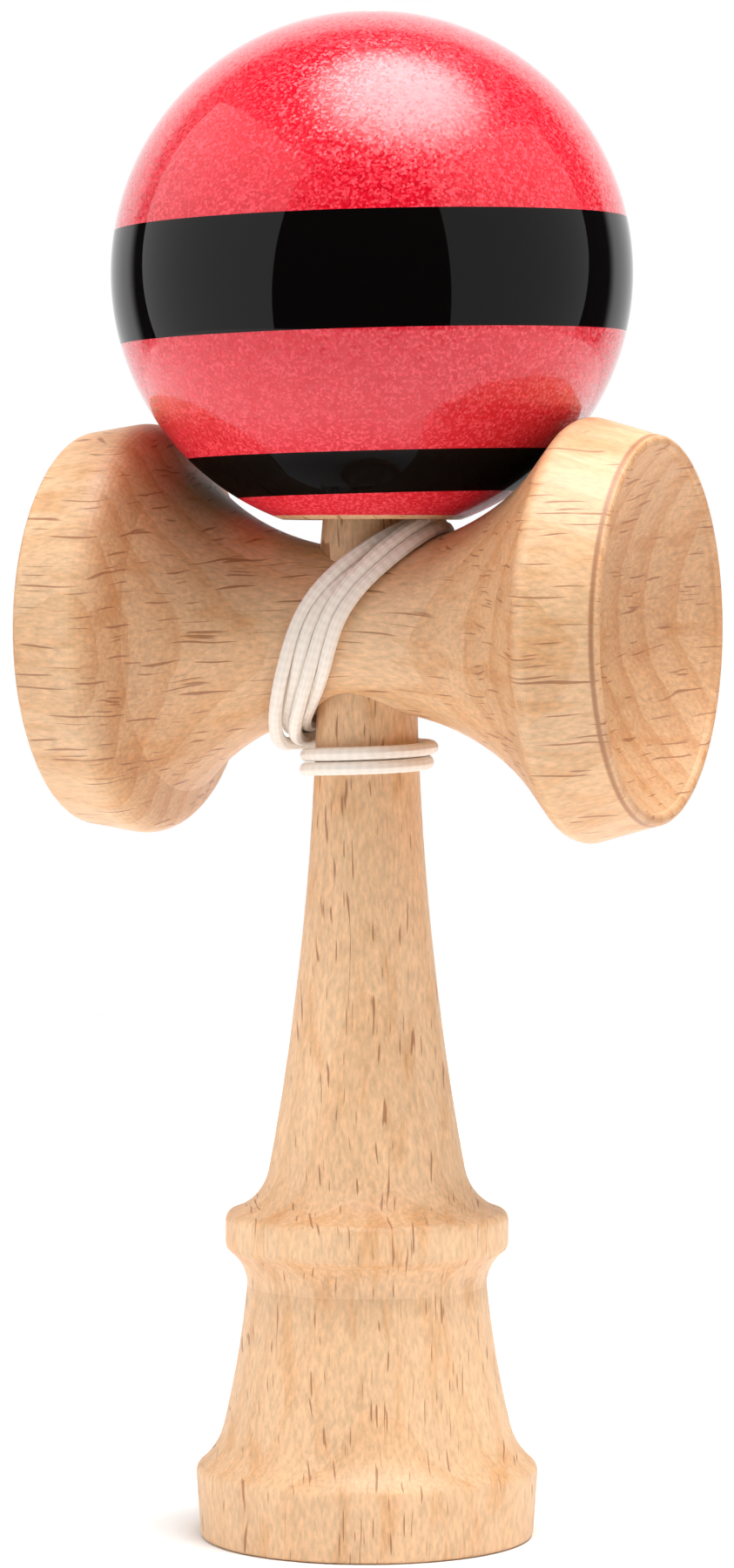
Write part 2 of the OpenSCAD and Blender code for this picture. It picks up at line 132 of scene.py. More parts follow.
class KendamaBallSettings(bpy.types.PropertyGroup):
    """Sizes and colours of the painted ball. Heights are over the ball's middle."""
    red: colour_property("Red", "Colour of the lacquer", "#d80a25")
    flake: colour_property("Flake", "Colour of the brightest flakes in the lacquer", "#ff5361")
    black: colour_property("Black", "Colour of the two bands", "#070505")
    flake_size: size_property("Flake size", "Width of a flake, drawn coarser than real so that it shows",
                              0.28 * MM)
    wide_top: height_property("Wide band top", "Height of the wide band's upper edge", 5.58 * MM)
    wide_bottom: height_property("Wide band bottom", "Height of the wide band's lower edge", -7.4 * MM)
    narrow_top: height_property("Narrow band top", "Height of the narrow band's upper edge", -20.66 * MM)
    narrow_bottom: height_property("Narrow band bottom", "Height of the narrow band's lower edge",
                                   -25.31 * MM)
    paint_end: height_property("Paint end", "Height where the paint ends, over bare wood round the hole",
                               -27.75 * MM)
    tilt: angle_property("Band tilt", "Slant of the bands across the front", 1.5)


class KendamaStringSettings(bpy.types.PropertyGroup):
    """Sizes and colour of the braided string."""
    diameter: size_property("Diameter", "Diameter of the string", 1.56 * MM)
    colour: colour_property("Colour", "Colour of the yarn", "#fff4e8")
    pitch: size_property("Braid pitch", "Length in which a strand of the braid goes once round", 9 * MM)
    strands: IntProperty(name="Strands", description="Strands of the braid each way round", default=4,
                         min=2, max=8)


class KendamaStageSettings(bpy.types.PropertyGroup):
    """Camera and light."""
    azimuth: angle_property("Azimuth", "Camera's turn to the right round the handle", 22.15)
    pitch: angle_property("Pitch", "Camera's slope", -2.4)
    distance: size_property("Distance", "Camera's distance from the handle's axis", 605.47 * MM)
    height: size_property("Height", "Camera's height over the floor", 112.45 * MM)
    lens: FloatProperty(name="Lens", description="Focal length for a sensor 36 mm high", default=120.569)
    left_light: brightness_property("Left panel", "Brightness of the panel on the left", 1.32)
    right_light: brightness_property("Right panel", "Brightness of the panel on the right", 0.94)
    top_light: brightness_property("Top panel", "Brightness of the middle of the panel overhead", 11)
    fill: brightness_property("Fill", "Brightness of the room's light from all round", 0.05)


class KendamaSettings(bpy.types.PropertyGroup):
    """All settings of the kendama."""
    wood: PointerProperty(type=KendamaWoodSettings)
    ball: PointerProperty(type=KendamaBallSettings)
    string: PointerProperty(type=KendamaStringSettings)
    stage: PointerProperty(type=KendamaStageSettings)


# Shapes

def grid_object(name, points, wrap_rows=False, cap_ends=False, map_step=None):
    """A mesh object from a grid of points, rows by columns, whose columns close in a ring.

    Each cell of the grid is one four-sided face. Rows close too where wrap_rows is set, and otherwise
    cap_ends closes the first and last row with a fan round their middle. A tube with a map_step has a map
    that goes from 0 to 1 round the ring, and on by map_step from one row to the next.
    """
    rows, cols = points.shape[:2]
    steps = rows if wrap_rows else rows - 1
    row, col = (index.ravel() for index in np.meshgrid(np.arange(steps), np.arange(cols), indexing="ij"))
    next_row, next_col = (row + 1) % rows, (col + 1) % cols
    faces = np.stack([row * cols + col, row * cols + next_col, next_row * cols + next_col,
                      next_row * cols + col], -1)
    corners = points.reshape(-1, 3)
    loops, starts = [faces.ravel()], [np.arange(len(faces)) * 4]
    if cap_ends:
        corners = np.vstack([corners, points[0].mean(0), points[-1].mean(0)])
        here = np.arange(cols)
        onward, last = (here + 1) % cols, (rows - 1) * cols
        first_fan = np.stack([onward, here, np.full(cols, rows * cols)], -1)
        last_fan = np.stack([last + here, last + onward, np.full(cols, rows * cols + 1)], -1)
        fans = np.vstack([first_fan, last_fan])
        loops.append(fans.ravel())
        starts.append(len(faces) * 4 + np.arange(len(fans)) * 3)
    loops, starts = np.concatenate(loops), np.concatenate(starts)
    mesh = bpy.data.meshes.new(name)
    mesh.vertices.add(len(corners))
    mesh.vertices.foreach_set("co", corners.ravel())
    mesh.loops.add(len(loops))
    mesh.loops.foreach_set("vertex_index", loops)
    mesh.polygons.add(len(starts))
    mesh.polygons.foreach_set("loop_start", starts)
    mesh.polygons.foreach_set("use_smooth", np.ones(len(starts), bool))
    if map_step is not None:
        u = np.stack([col, col + 1, col + 1, col], -1) / cols
        v = np.stack([row, row, row + 1, row + 1], -1) * map_step
        flat = np.zeros((len(loops), 2))
        flat[:len(faces) * 4] = np.stack([u, v], -1).reshape(-1, 2)
        mesh.uv_layers.new(name="braid").data.foreach_set("uv", flat.ravel())
    mesh.update(calc_edges=True)
    mesh.validate()
    piece = bpy.data.objects.new(name, mesh)
    bpy.context.scene.collection.objects.link(piece)
    return piece


def unit(vectors):
    """Vectors of length one, along the last axis."""
    return vectors / np.linalg.norm(vectors, axis=-1, keepdims=True)


def turn_product(a, b):
    """Product of rotations as quaternions, real part first: b is done before a."""
    real = a[:, :1] * b[:, :1] - (a[:, 1:] * b[:, 1:]).sum(1, keepdims=True)
    rest = a[:, :1] * b[:, 1:] + b[:, :1] * a[:, 1:] + np.cross(a[:, 1:], b[:, 1:])
    return np.hstack([real, rest])


def path_frames(path):
    """Two vectors square to a path and to each other at each of its points, carried along without twist.

    Each step turns the last tangent to the next by the shortest way. The running product of these turns,
    by doubling the span that each pass joins, carries one first vector along the whole path.
    """
    tangent = unit(np.gradient(path, axis=0))
    turn = np.hstack([1 + (tangent[1:] * tangent[:-1]).sum(1, keepdims=True),
                      np.cross(tangent[:-1], tangent[1:])])
    total = np.vstack([[1.0, 0, 0, 0], unit(turn)])
    span = 1
    while span < len(path):
        total[span:] = turn_product(total[span:].copy(), total[:-span].copy())
        span *= 2
    seed = np.eye(3)[np.argmin(np.abs(tangent[0]))]
    first = unit(np.cross(tangent[0], seed))
    axis = total[:, 1:]
    twice = 2 * np.cross(axis, first)
    side = first + total[:, :1] * twice + np.cross(axis, twice)
    side = unit(side - (side * tangent).sum(1, keepdims=True) * tangent)
    return side, np.cross(tangent, side)


def even_path(points, step):
    """A path with points a fixed step apart along its own length."""
    run = np.concatenate([[0], np.cumsum(np.linalg.norm(np.diff(points, axis=0), axis=1))])
    count = int(round(run[-1] / step)) + 1
    at = np.linspace(0, run[-1], count)
    return np.stack([np.interp(at, run, points[:, axis]) for axis in range(3)], -1), run[-1]


def round_rims(side, other, sides):
    """Angles round a path and vectors of length one: side at angle 0 and other a quarter turn on."""
    angle = np.linspace(0, 2 * np.pi, sides, endpoint=False)
    return angle, side[:, None] * np.cos(angle)[:, None] + other[:, None] * np.sin(angle)[:, None]


def braid_tube(name, points, settings, sides=24, step=0.3 * MM, relief=0.03):
    """A braided string along a path.

    The radius at angle a and length s is the string's own, less a small share of it where two helices of
    opposite hand, n strands each, leave a groove: 1 - relief * (1 - cos(n a + k s) cos(n a - k s)) / 2.
    """
    path, length = even_path(points, step)
    angle, rim = round_rims(*path_frames(path), sides)
    run = np.linspace(0, length, len(path))[:, None]
    wave = settings.strands * angle[None, :]
    wind = 2 * np.pi * settings.strands * run / settings.pitch
    groove = (1 - np.cos(wave + wind) * np.cos(wave - wind)) / 2
    radius = settings.diameter / 2 * (1 - relief * groove)
    piece = grid_object(name, path[:, None, :] + radius[:, :, None] * rim, cap_ends=True,
                        map_step=length / (len(path) - 1) / settings.pitch)
    return piece, path, length


# The string's route, with the sizes of the solids. Its strands lie closer together than the solids, which
# keep air between them.
ANCHOR_ROUTE = np.array([
    (0, 3.2, 102.4), (0, 4.6, 102.4), (0, 6.6, 102.4), (0, 8.8, 102.4), (0.1, 10.8, 103.2),
    (0.6, 11.4, 105.2), (1.5, 10.8, 107.5)]) * MM
TAIL_ROUTE = np.array([
    (-6.4, 5, 87.9), (-6.6, 8.2, 88), (-6.4, 11, 89.6), (-6, 12.4, 92.6), (-5.4, 12.8, 96.2), (-5, 13, 99.6),
    (-4.8, 13.5, 102.7), (-5, 14, 104)]) * MM
LEAD_ROUTE = np.array([
    (-5, 14, 104), (-5.2, 14.5, 105.3), (-5.8, 15.9, 108.6), (-6.7, 18.4, 114.2), (-7.7, 20.8, 120),
    (-8.8, 23.4, 126.3), (-9.9, 26.1, 132.5), (-10.6, 28.1, 138.7), (-10.9, 28.9, 145.1),
    (-10.8, 28.4, 151.5), (-10.1, 26.7, 157.6), (-9, 23.9, 163.2), (-7.4, 20, 168.1), (-5.5, 15.3, 172),
    (-3.7, 10.8, 174.6), (-2.3, 7.4, 175.7), (-1.5, 5.3, 176.2), (-0.8, 3.5, 176.2), (-0.1, 1.8, 175.4)]) * MM
# The crosspiece's neck and flare, and how far the string's middle line is from the wood
NECK_RADIUS, FLARE_RADIUS, CROSS_HEIGHT = 9.3 * MM, 31 * MM, 104.9 * MM
STRING_MIDDLE = 0.93 * MM
# Turns on the neck: their number, their way along it, and a strand's lean, step to the next and lift
FIRST_TURN, LAST_TURN = -0.17, 3.5
WIND_SHIFT, WIND_REACH, SWING_SHARE = -0.235 * MM, 7.985 * MM, 0.13
FRONT_LEAN, BACK_LEAN = 1.96 * MM, 4.5 * MM
END_STEP, FRONT_STEP, BACK_STEP = 0.9 * MM, 0.7 * MM, 1.5 * MM
STRAND_LIFT = 1.35 * MM
# Turns on the handle: their number, height and step down, and the turns to drop and to settle on the wood
HANDLE_END, TURN_TOP, TURN_STEP = 2.05, 91.4 * MM, 1.64 * MM
DROP_TURNS, SETTLE_TURNS = 0.36, 0.6
# The handle's taper, as radius and height
TAPER_COLLAR, TAPER_TOP, TAPER_FOOT = np.array(((5.86, 95.1), (5.37, 114.7), (11.4, 42.4))) * MM
# Rings of the solid in a turn, and points of the route on each stretch
RINGS_PER_TURN, NECK_POINTS, HANDLE_POINTS, HOLE_POINTS = 24, 900, 400, 6

# The ball and its holes, with the sizes of the solids, the rows of each stretch of its outline inside, the
# latitude at which the tip of its bands fades out, and the slots of its materials
BALL_CENTRE = np.array((0.611628, 0, 145.719)) * MM
BALL_RADIUS, BALL_SIDES = 30 * MM, 192
HOLE_RADIUS, HOLE_BEVEL, HOLE_DEPTH = 10 * MM, 0.4 * MM, 47.2 * MM
DRILL_HALF_ANGLE = math.radians(59)
STRING_HOLE_RADIUS, SINK_RADIUS, SINK_DEPTH = 1.4 * MM, 5.35 * MM, 3 * MM
SINK_ROWS, STRING_HOLE_ROWS, DRILL_ROWS, WALL_ROWS = 5, 6, 8, 24
TIP_END, TIP_FADE, SHARP_ANGLE = math.radians(66), math.radians(8), math.radians(35)
LACQUER, ENAMEL, BARE = 0, 1, 2
# The knots, the points and sides of their tubes, and the height up to which the free string is blended
KNOT_POINTS, KNOT_SIDES, KNOT_MAP_STEP, BLEND_END = 96, 16, 0.05, 0.143
ANCHOR_KNOT_MIDDLE = (0, 1.585 * MM, 102.4 * MM)
ANCHOR_KNOT_WIDTH, ANCHOR_KNOT_HEIGHT = 3.8 * MM, 3.23 * MM
BEAD_KNOT_TOP, BEAD_KNOT_WIDTH, BEAD_KNOT_HEIGHT = 155.818 * MM, 4.4 * MM, 3.74 * MM


def ease(t):
    """A step from 0 to 1 that starts and ends level."""
    c = np.clip(t, 0, 1)
    return c * c * (3 - 2 * c)


def flare_radius(x):
    """Radius of the crosspiece at distance x from the handle: the neck's plus the rise of a round hollow."""
    return NECK_RADIUS + FLARE_RADIUS - np.sqrt(FLARE_RADIUS ** 2 - x ** 2)


def neck_turns(t):
    """Points of the string on the neck, t turns from its top, slanting across the front from right to left.

    The distance along the crosspiece swings with the angle, leans more at the back than at the front, and
    steps on with each turn. Every second strand is lifted at the top and bottom, where strands cross.
    """
    a = 2 * np.pi * t
    behind = np.sin(a) < 0
    lean = np.where(behind, BACK_LEAN, FRONT_LEAN)
    spread = END_STEP + np.where(behind, BACK_STEP, FRONT_STEP) * (1 - np.cos(a) ** 4)
    swing = (1 - SWING_SHARE) * np.cos(a) + SWING_SHARE * np.cos(3 * a)
    x = WIND_SHIFT + WIND_REACH * swing - lean * np.sin(a) ** 2 + spread * (LAST_TURN / 2 - t)
    lift = np.mod(np.floor(t + 0.25), 2) * STRAND_LIFT * (1 - np.sin(a) ** 4)
    out = flare_radius(x) + (STRING_MIDDLE + lift) / np.sqrt(1 - (x / FLARE_RADIUS) ** 2)
    return np.stack([x, -out * np.sin(a), CROSS_HEIGHT + out * np.cos(a)], -1)


def handle_taper(z):
    """Radius of the handle at a height: an arc that runs on from the bore's own slope."""
    slope = (TAPER_COLLAR[0] - TAPER_TOP[0]) / (TAPER_TOP[1] - TAPER_COLLAR[1])
    out = np.array((1, slope)) / math.hypot(1, slope)
    chord = TAPER_FOOT - TAPER_COLLAR
    radius = (chord ** 2).sum() / (2 * chord @ out)
    middle = TAPER_COLLAR + radius * out
    return middle[0] - np.sqrt(radius ** 2 - (z - middle[1]) ** 2)


def handle_turns(t):
    """Points of the string on the handle, t turns from the left: it drops from the neck, then winds on."""
    start = neck_turns(np.array(LAST_TURN))
    drop = (TURN_TOP - start[2]) * ease(t / DROP_TURNS)
    z = start[2] + drop - TURN_STEP * np.maximum(0, t - DROP_TURNS)
    close = handle_taper(z) + STRING_MIDDLE
    out = -start[0] + (close + start[0]) * ease(t / SETTLE_TURNS)
    return np.stack([-out * np.cos(2 * np.pi * t), out * np.sin(2 * np.pi * t), z], -1)


def smooth_route(route, first, last, steps=12):
    """A curve through a route's points, each stretch a cubic with slopes from the points on either side."""
    i = np.repeat(np.arange(first, last), steps)
    t = np.tile(np.arange(steps) / steps, last - first)[:, None]
    a, b, c, d = (route[np.clip(i + k, 0, len(route) - 1)] for k in (-1, 0, 1, 2))
    square, cube = 2 * a - 5 * b + 4 * c - d, 3 * b - a - 3 * c + d
    return (2 * b + (c - a) * t + square * t ** 2 + cube * t ** 3) / 2


def winding_route():
    """Middle line of the wound string, from its knot in the handle to where it leaves behind the neck."""
    neck_step = (LAST_TURN - FIRST_TURN) / round((LAST_TURN - FIRST_TURN) * RINGS_PER_TURN)
    hand_step = HANDLE_END / round(HANDLE_END * RINGS_PER_TURN)
    lead_in = np.vstack([ANCHOR_ROUTE, neck_turns(FIRST_TURN + neck_step * np.arange(2))])
    lead_out = np.vstack([handle_turns(HANDLE_END - hand_step * np.array((1, 0))), TAIL_ROUTE])
    return np.vstack([
        ANCHOR_ROUTE[:1],
        smooth_route(lead_in, 1, len(ANCHOR_ROUTE)),
        neck_turns(np.linspace(FIRST_TURN, LAST_TURN, NECK_POINTS)),
        handle_turns(np.linspace(0, HANDLE_END, HANDLE_POINTS)[1:-1]),
        smooth_route(lead_out, 1, len(lead_out) - 1),
        lead_out[-1:]])


def lead_route():
    """Middle line of the free string, over the back of the ball and down its string hole to the knot."""
    top = BALL_CENTRE + (0, 0, BALL_RADIUS - SINK_DEPTH)
    end = np.array((BALL_CENTRE[0], 0, BEAD_KNOT_TOP))
    down = top + (end - top) * np.linspace(0, 1, HOLE_POINTS)[:, None]
    route = np.vstack([LEAD_ROUTE, down])
    return np.vstack([smooth_route(route, 0, len(route) - 1), end[None]])


# Materials

def add_node(tree, kind, inputs=None, **settings):
    """A shader node with its settings. In inputs, a socket or a node's first output is linked, and any other
    value is set."""
    made = tree.nodes.new(f"ShaderNode{kind}")
    for key, value in settings.items():
        setattr(made, key, value)
    for key, value in (inputs or {}).items():
        if isinstance(value, bpy.types.Node):
            value = value.outputs[0]
        if isinstance(value, bpy.types.NodeSocket):
            tree.links.new(value, made.inputs[key])
        else:
            made.inputs[key].default_value = value
    return made


def new_material(name):
    """An empty node material, and its tree to build on."""
    material = bpy.data.materials.new(name)
    material.use_nodes = True
    tree = material.node_tree
    tree.nodes.clear()
    return material, tree


def rgba(colour):
    """A colour property with full opacity."""
    return (*colour, 1.0)


# Sizes of the beech's patterns: along the grain, across the rings and the third way
DRIFT, SWAY = (26 * MM, 8 * MM, 8 * MM), 2.4 * MM
PATCHES = (9 * MM, 6 * MM, 2.2 * MM)
VESSELS = (1.5 * MM, 0.45 * MM, 0.45 * MM)
TONES = (30 * MM, 9 * MM, 9 * MM)
STREAKS = (30 * MM, 4 * MM, 2.5 * MM)
RAY_DEPTH = 3.5 * MM
# Level of the noise at which a ray starts, shares of the end grain's tint and of the rings on the sides, the
# reach of the scorched line, and the share of the fleck's colour in a dark mark
CROSS_RAY_LEVEL, HANDLE_RAY_LEVEL, RAY_SOFTNESS = 0.84, 0.86, 0.09
CROSS_END_TINT, HANDLE_END_TINT = 1.0, 0.4
SIDE_RINGS = 0.4
SCORCH_FAINT, SCORCH_CORE = 0.45 * MM, 0.1 * MM
DARKEST = 0.75


# Beech, turned on a lathe, sanded and left bare: pale peach wood with soft growth rings, fine mottled
# grain and thin dark rays. A ray is a plate: tall along the grain, deep across the rings and very thin the
# third way, so it shows as a dash on the side of the wood and as a line on its end. Sanding leaves a soft
# sheen and no sharp gloss.
def beech(name, wood, along, turn, scorch=None):
    """Bare beech whose grain runs along X or Z, with its rings turned. Sizes of the pattern are real ones.

    scorch gives a thin brown line round the crosspiece's axis, as (radius, distance), where a tool ran hot.
    """
    material, tree = new_material(name)
    coords = add_node(tree, "TexCoord").outputs
    place = coords["Object"]
    level = along == "X"
    grain, sway = ((1, 0, 0), (0, SWAY, SWAY)) if level else ((0, 0, 1), (SWAY, SWAY, 0))
    ray_length, ray_level, ring_depth, end_tint = (
        (wood.cross_fleck, CROSS_RAY_LEVEL, wood.cross_rings, CROSS_END_TINT) if level else
        (wood.handle_fleck, HANDLE_RAY_LEVEL, wood.handle_rings, HANDLE_END_TINT))

    def pattern(kind, vector, size, **inputs):
        """A noise so long along the grain, so deep across the rings and so wide the third way."""
        spot = add_node(tree, "Mapping",
                        {"Vector": vector, "Rotation": turn, "Scale": size if level else size[::-1]},
                        vector_type="TEXTURE")
        return add_node(tree, "TexNoise", {"Vector": spot, "Scale": 1.0, **inputs}, label=kind)

    # The grain sways a little to the sides
    drift = pattern("drift", place, DRIFT, Detail=2.0)
    offset = add_node(tree, "VectorMath", {0: drift.outputs["Color"], 1: (0.5, 0.5, 0.5)},
                      operation="SUBTRACT")
    wander = add_node(tree, "VectorMath", {0: offset, 1: sway}, operation="MULTIPLY")
    wavy = add_node(tree, "VectorMath", {0: place, 1: wander})

    # Growth rings lie in layers from front to back, each darker towards its late wood, clearest on end grain
    facing = add_node(tree, "VectorMath", {0: coords["Normal"], 1: grain}, operation="DOT_PRODUCT")
    cut = add_node(tree, "Math", {0: facing.outputs["Value"]}, operation="ABSOLUTE")
    clear = add_node(tree, "MapRange",
                     {"Value": cut, "To Min": SIDE_RINGS * ring_depth, "To Max": ring_depth})
    layers = add_node(tree, "Mapping",
                      {"Vector": wavy, "Rotation": turn, "Scale": (wood.ring,) * 3}, vector_type="TEXTURE")
    rings = add_node(tree, "TexWave",
                     {"Vector": layers, "Scale": 2 * math.pi / 20, "Distortion": 0.8, "Detail": 2.0,
                      "Detail Scale": 0.6}, wave_type="BANDS", bands_direction="Y", wave_profile="SAW")
    late = add_node(tree, "MapRange",
                    {"Value": rings.outputs["Fac"], "From Min": 0.35, "From Max": 1.0, "To Max": clear},
                    interpolation_type="SMOOTHSTEP")
    ringed = add_node(tree, "Mix", {0: late, 6: rgba(wood.pale), 7: rgba(wood.tan)}, data_type="RGBA")

    # Warm patches, fine mottling of the wood's own vessels, and slow changes of tone from place to place
    warm = pattern("patches", wavy, PATCHES, Detail=1.0)
    patch = add_node(tree, "MapRange",
                     {"Value": warm.outputs["Fac"], "From Min": 0.52, "From Max": 0.72, "To Max": 0.46},
                     interpolation_type="SMOOTHSTEP")
    patched = add_node(tree, "Mix", {0: patch, 6: ringed.outputs[2], 7: rgba(wood.tan)}, data_type="RGBA")
    mottle = pattern("vessels", wavy, VESSELS, Detail=3.0, Roughness=0.6).outputs["Fac"]
    tone = pattern("tone", wavy, TONES, Detail=2.0).outputs["Fac"]
    fine, slow = (
        add_node(tree, "MapRange",
                 {"Value": noise, "From Min": 0.3, "From Max": 0.7, "To Min": darker, "To Max": brighter})
        for noise, darker, brighter in ((mottle, 0.81, 1.14), (tone, 0.93, 1.05)))
    both = add_node(tree, "Math", {0: fine, 1: slow}, operation="MULTIPLY")
    toned = add_node(tree, "VectorMath", {0: patched.outputs[2], 3: both}, operation="SCALE")
    across = add_node(tree, "Math", {0: cut, 1: end_tint}, operation="MULTIPLY")
    ended = add_node(tree, "Mix", {0: across, 6: toned, 7: rgba(wood.end)},
                     data_type="RGBA", blend_type="MULTIPLY")

    # Rays as thin dark dashes, in streaks along the grain
    rays = pattern("rays", wavy, (ray_length, RAY_DEPTH, wood.fleck_width), Detail=0.0)
    crowd = pattern("streaks", wavy, STREAKS, Detail=1.0)
    thicker = add_node(tree, "Math", {0: crowd.outputs["Fac"], 1: 0.3, 2: rays.outputs["Fac"]},
                       operation="MULTIPLY_ADD")
    dash = add_node(tree, "MapRange",
                    {"Value": thicker, "From Min": ray_level, "From Max": ray_level + RAY_SOFTNESS,
                     "To Max": DARKEST}, interpolation_type="SMOOTHSTEP")
    dark = dash
    if scorch:
        line = scorch_line(tree, place, scorch)
        dark = add_node(tree, "Math", {0: dash, 1: line}, operation="MAXIMUM")
    flecked = add_node(tree, "Mix", {0: dark, 6: ended.outputs[2], 7: rgba(wood.fleck)}, data_type="RGBA")

    # The rays are sunk, and the vessels make the surface uneven
    height = add_node(tree, "Math", {0: dash, 1: -1.0, 2: mottle}, operation="MULTIPLY_ADD")
    bump = add_node(tree, "Bump", {"Height": height, "Strength": 0.4, "Distance": 0.08 * MM})
    rough = add_node(tree, "MapRange", {"Value": mottle, "To Min": 0.42, "To Max": 0.6})
    shader = add_node(tree, "BsdfPrincipled",
                      {"Base Color": flecked.outputs[2], "Roughness": rough, "Normal": bump, "IOR": 1.5,
                       "Specular IOR Level": 0.6})
    add_node(tree, "OutputMaterial", {"Surface": shader})
    return material


def scorch_line(tree, place, scorch):
    """Strength of a line round the crosspiece's axis, less away from its radius and its reach."""
    away = add_node(tree, "VectorMath", {0: place, 1: (0, 0, CROSS_HEIGHT)}, operation="SUBTRACT")
    square = add_node(tree, "VectorMath", {0: away, 1: (0, 1, 1)}, operation="MULTIPLY")
    radius = add_node(tree, "VectorMath", {0: square}, operation="LENGTH")
    reach = add_node(tree, "SeparateXYZ", {0: place})
    spot = add_node(tree, "CombineXYZ", {0: radius.outputs["Value"], 1: reach.outputs[0]})
    off = add_node(tree, "VectorMath", {0: spot, 1: (*scorch, 0)}, operation="DISTANCE")
    return add_node(tree, "MapRange",
                    {"Value": off.outputs["Value"], "From Min": SCORCH_FAINT, "From Max": SCORCH_CORE,
                     "To Max": DARKEST}, interpolation_type="SMOOTHSTEP")


# Sizes of the paint and the yarn: how far a flake leans, where the clear coat starts to thin out and where
# it is thinnest, the waves of the enamel's film, and a fibre
FLAKE_LEAN = 0.32
COAT_FULL, COAT_THIN, THIN_COAT = BALL_CENTRE[2] - 16 * MM, BALL_CENTRE[2] - 22.5 * MM, 0.2
FILM_WAVE, FIBRE = 2.5 * MM, 0.25 * MM


def coat_share(tree, place):
    """Share of the clear coat on the ball. The spray comes from above, so it thins out underneath."""
    height = add_node(tree, "SeparateXYZ", {0: place}).outputs[2]
    return add_node(tree, "MapRange",
                    {"Value": height, "From Min": COAT_THIN, "From Max": COAT_FULL, "To Min": THIN_COAT},
                    interpolation_type="SMOOTHSTEP")


# Pearl lacquer, sprayed on and polished under clear coat: a deep red with fine flakes that tip each its
# own way, so that a panel's reflection turns into a pink, grainy haze, with sharp gloss on top. Where the
# coat is thin, the flakes lie flatter and the paint is duller.
def pearl_lacquer(ball):
    """Red lacquer with flakes. Each flake is a cell of its own tilt and brightness."""
    material, tree = new_material("pearl red lacquer, polished")
    place = add_node(tree, "TexCoord").outputs["Object"]
    coat = coat_share(tree, place)
    cells = add_node(tree, "TexVoronoi", {"Vector": place, "Scale": 1 / ball.flake_size})
    centred = add_node(tree, "VectorMath", {0: cells.outputs["Color"], 1: (0.5, 0.5, 0.5)},
                       operation="SUBTRACT")
    lean = add_node(tree, "Math", {0: coat, 1: FLAKE_LEAN}, operation="MULTIPLY")
    tilt = add_node(tree, "VectorMath", {0: centred, 3: lean}, operation="SCALE")
    normal = add_node(tree, "NewGeometry").outputs["Normal"]
    tipped = add_node(tree, "VectorMath", {0: normal, 1: tilt})
    flat = add_node(tree, "VectorMath", {0: tipped}, operation="NORMALIZE")
    random = add_node(tree, "SeparateXYZ", {0: cells.outputs["Color"]})
    bright = add_node(tree, "MapRange", {"Value": random.outputs[0], "From Min": 0.45, "To Max": 0.8})
    colour = add_node(tree, "Mix", {0: bright, 6: rgba(ball.red), 7: rgba(ball.flake)}, data_type="RGBA")
    rough = add_node(tree, "MapRange", {"Value": coat, "To Min": 0.7, "To Max": 0.24})
    shader = add_node(tree, "BsdfPrincipled",
                      {"Base Color": colour.outputs[2], "Roughness": rough, "IOR": 1.34, "Normal": flat,
                       "Coat Weight": coat, "Coat Roughness": 0.03, "Coat IOR": 1.33})
    add_node(tree, "OutputMaterial", {"Surface": shader})
    return material


# Black enamel under the same clear coat: almost no colour of its own, only the sharp gloss, with the faint
# unevenness of a sprayed film.
def black_enamel(ball):
    """Black paint under clear coat."""
    material, tree = new_material("black enamel, polished")
    place = add_node(tree, "TexCoord").outputs["Object"]
    film = add_node(tree, "TexNoise", {"Vector": place, "Scale": 1 / FILM_WAVE, "Detail": 2.0})
    rough = add_node(tree, "MapRange", {"Value": film.outputs["Fac"], "To Min": 0.3, "To Max": 0.5})
    bump = add_node(tree, "Bump", {"Height": film.outputs["Fac"], "Strength": 0.05, "Distance": 0.02 * MM})
    shader = add_node(tree, "BsdfPrincipled",
                      {"Base Color": rgba(ball.black), "Roughness": rough, "Specular IOR Level": 0.0,
                       "Normal": bump, "Coat Weight": coat_share(tree, place), "Coat Roughness": 0.03,
                       "Coat IOR": 1.3})
    add_node(tree, "OutputMaterial", {"Surface": shader})
    return material


# Polyester yarn, braided: matt off-white with a soft sheen, a little darker in the grooves of the braid,
# where shade is painted, and with a fine random tone of its fibres.
def braided_yarn(string):
    """String whose grooves follow the map round and along the tube: two helices of opposite hand."""
    material, tree = new_material("polyester yarn, braided")
    braid_map = add_node(tree, "UVMap", uv_map="braid")
    spot = add_node(tree, "SeparateXYZ", {0: braid_map})
    full = 2 * math.pi * string.strands
    round_way, run_way = (
        add_node(tree, "Math", {0: spot.outputs[axis], 1: full}, operation="MULTIPLY")
        for axis in (0, 1))
    helices = []
    for hand in ("ADD", "SUBTRACT"):
        phase = add_node(tree, "Math", {0: round_way, 1: run_way}, operation=hand)
        helices.append(add_node(tree, "Math", {0: phase}, operation="COSINE"))
    crown = add_node(tree, "Math", {0: helices[0], 1: helices[1]}, operation="MULTIPLY")
    place = add_node(tree, "TexCoord").outputs["Object"]
    fibre = add_node(tree, "TexNoise", {"Vector": place, "Scale": 1 / FIBRE, "Detail": 2.0})
    height = add_node(tree, "Math", {0: fibre.outputs["Fac"], 1: 0.8, 2: crown}, operation="MULTIPLY_ADD")
    # Painted shade: the yarn's colour is darker in the grooves of the braid. The fine noise of the fibres
    # adds a random tone of its own.
    groove_shade_and_fibre_tone = add_node(tree, "MapRange",
                     {"Value": height, "From Min": -0.7, "From Max": 1.2, "To Min": 0.91, "To Max": 1.0})
    colour = add_node(tree, "VectorMath", {0: tuple(string.colour), 3: groove_shade_and_fibre_tone}, operation="SCALE")
    bump = add_node(tree, "Bump", {"Height": height, "Strength": 0.7, "Distance": 0.06 * MM})
    shader = add_node(tree, "BsdfPrincipled",
                      {"Base Color": colour, "Roughness": 0.78, "Specular IOR Level": 0.3,
                       "Sheen Weight": 0.4, "Normal": bump})
    add_node(tree, "OutputMaterial", {"Surface": shader})
    return material


